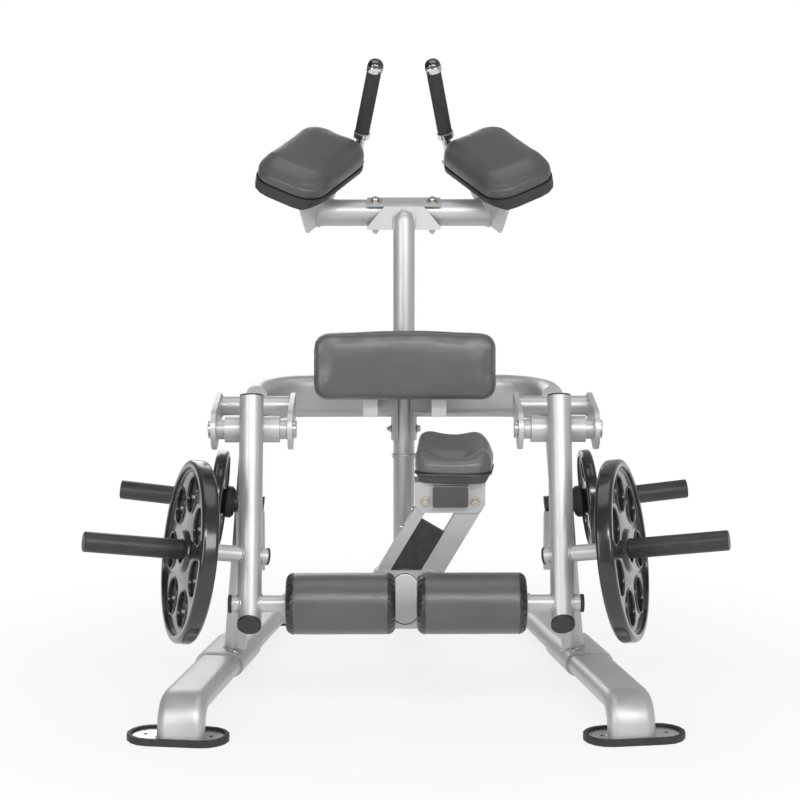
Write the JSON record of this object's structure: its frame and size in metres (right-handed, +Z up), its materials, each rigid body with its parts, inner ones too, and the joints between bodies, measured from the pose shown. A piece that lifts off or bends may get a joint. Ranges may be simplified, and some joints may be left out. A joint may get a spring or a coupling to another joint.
{
  "type": "kneeling hamstring machine",
  "caption": "Plate-loaded kneeling leg curl machine with swinging weight arms, ankle rollers, angled elbow pads, handles, a thigh pad and a knee cushion on a shifting linkage.",
  "frame": {"origin": "centre of the base on the floor", "axes": "+Z up, +Y away from the user's side towards the rear tie bar, +X to the right for a user who steps in facing the elbow pads"},
  "size_m": [1.5686, 1.3796, 1.6725],
  "materials": {
    "frame_paint": "light silver metallic powder coat, satin",
    "zinc_steel": "zinc plated steel, lightly brushed",
    "chrome": "bright chrome plate",
    "rubber": "matt black rubber",
    "gloss_black": "gloss black enamel over cast iron",
    "black_satin": "satin black sleeve",
    "vinyl": "grey upholstery vinyl with a fine grain",
    "moulded_board": "dark moulded backing shell"
  },
  "bodies": {
    "frame": {"elbow_bar": "frame_paint", "hoop": "frame_paint", "left_bumper": "rubber", "left_elbow_board": "moulded_board", "left_elbow_bracket": "frame_paint", "left_elbow_cushion": "vinyl", "left_foot_plate": "zinc_steel", "left_foot_rubber": "rubber", "left_handle": "chrome", "left_leg": "frame_paint", "left_pivot_pin": "zinc_steel", "left_store_donut": "rubber", "left_store_peg": "black_satin", "left_upright": "frame_paint", "left_yoke_inner": "frame_paint", "left_yoke_outer": "frame_paint", "lower_post": "frame_paint", "mast": "frame_paint", "rear_sole": "rubber", "rear_tie_bar": "frame_paint", "right_bumper": "rubber", "right_elbow_board": "moulded_board", "right_elbow_bracket": "frame_paint", "right_elbow_cushion": "vinyl", "right_foot_plate": "zinc_steel", "right_foot_rubber": "rubber", "right_handle": "chrome", "right_leg": "frame_paint", "right_pivot_pin": "zinc_steel", "right_store_donut": "rubber", "right_store_peg": "black_satin", "right_upright": "frame_paint", "right_yoke_inner": "frame_paint", "right_yoke_outer": "frame_paint", "spine": "frame_paint", "thigh_board": "moulded_board", "thigh_bracket": "frame_paint", "thigh_cushion": "vinyl"},
    "left_arm_body": {"left_arm": "frame_paint", "left_arm_end_cap": "rubber", "left_peg": "frame_paint", "left_peg_sleeve": "black_satin", "left_roller_axle": "frame_paint"},
    "left_roller_body": {"left_roller": "vinyl"},
    "left_large_plate_body": {"left_large_plate": "gloss_black"},
    "left_small_plate_body": {"left_small_plate": "gloss_black"},
    "right_arm_body": {"right_arm": "frame_paint", "right_arm_end_cap": "rubber", "right_peg": "frame_paint", "right_peg_sleeve": "black_satin", "right_roller_axle": "frame_paint"},
    "right_roller_body": {"right_roller": "vinyl"},
    "right_large_plate_body": {"right_large_plate": "gloss_black"},
    "right_small_plate_body": {"right_small_plate": "gloss_black"},
    "link_a_body": {"link_a": "frame_paint", "link_stop_block": "rubber"},
    "link_b_body": {"link_b": "frame_paint"},
    "carrier_body": {"knee_carrier": "frame_paint", "knee_shell": "moulded_board", "knee_cushion": "vinyl"}
  },
  "joints": [
    {"name": "left_arm_swing", "type": "hinge", "parent": "frame", "child": "left_arm_body", "pos_m": [-0.386, -0.2865, 0.735], "axis": [-1, 0, 0], "range_deg": [0, 105]},
    {"name": "left_roller_spin", "type": "hinge", "parent": "left_arm_body", "child": "left_roller_body", "pos_m": [-0.161, -0.46029, 0.32654], "axis": [1, 0, 0], "continuous": true},
    {"name": "left_large_plate_slide", "type": "slide", "parent": "left_arm_body", "child": "left_large_plate_body", "axis": [-0.9445, -0.2942, 0.1461], "range_m": [0, 0.24]},
    {"name": "left_small_plate_slide", "type": "slide", "parent": "frame", "child": "left_small_plate_body", "axis": [-0.993, 0, 0.1184], "range_m": [0, 0.235]},
    {"name": "right_arm_swing", "type": "hinge", "parent": "frame", "child": "right_arm_body", "pos_m": [0.386, -0.2865, 0.735], "axis": [-1, 0, 0], "range_deg": [0, 105]},
    {"name": "right_roller_spin", "type": "hinge", "parent": "right_arm_body", "child": "right_roller_body", "pos_m": [0.161, -0.46029, 0.32654], "axis": [1, 0, 0], "continuous": true},
    {"name": "right_large_plate_slide", "type": "slide", "parent": "right_arm_body", "child": "right_large_plate_body", "axis": [0.9445, -0.2942, 0.1461], "range_m": [0, 0.24]},
    {"name": "right_small_plate_slide", "type": "slide", "parent": "frame", "child": "right_small_plate_body", "axis": [0.993, 0, 0.1184], "range_m": [0, 0.235]},
    {"name": "knee_link_a", "type": "hinge", "parent": "frame", "child": "link_a_body", "pos_m": [-0.0637, -0.22, 0.344], "axis": [0, -1, 0], "range_deg": [0, 60.6]},
    {"name": "knee_link_b", "type": "hinge", "parent": "frame", "child": "link_b_body", "pos_m": [0.0637, -0.22, 0.344], "axis": [0, -1, 0], "range_deg": [0, 60.6]},
    {"name": "knee_carrier_turn", "type": "hinge", "parent": "link_a_body", "child": "carrier_body", "pos_m": [0.05185, -0.22, 0.53939], "axis": [0, -1, 0], "range_deg": [-60.6, 0]}
  ],
  "couplings": [
    {"joint": "knee_link_b", "follows": "knee_link_a", "ratio": 1},
    {"joint": "knee_carrier_turn", "follows": "knee_link_a", "ratio": -1}
  ]
}
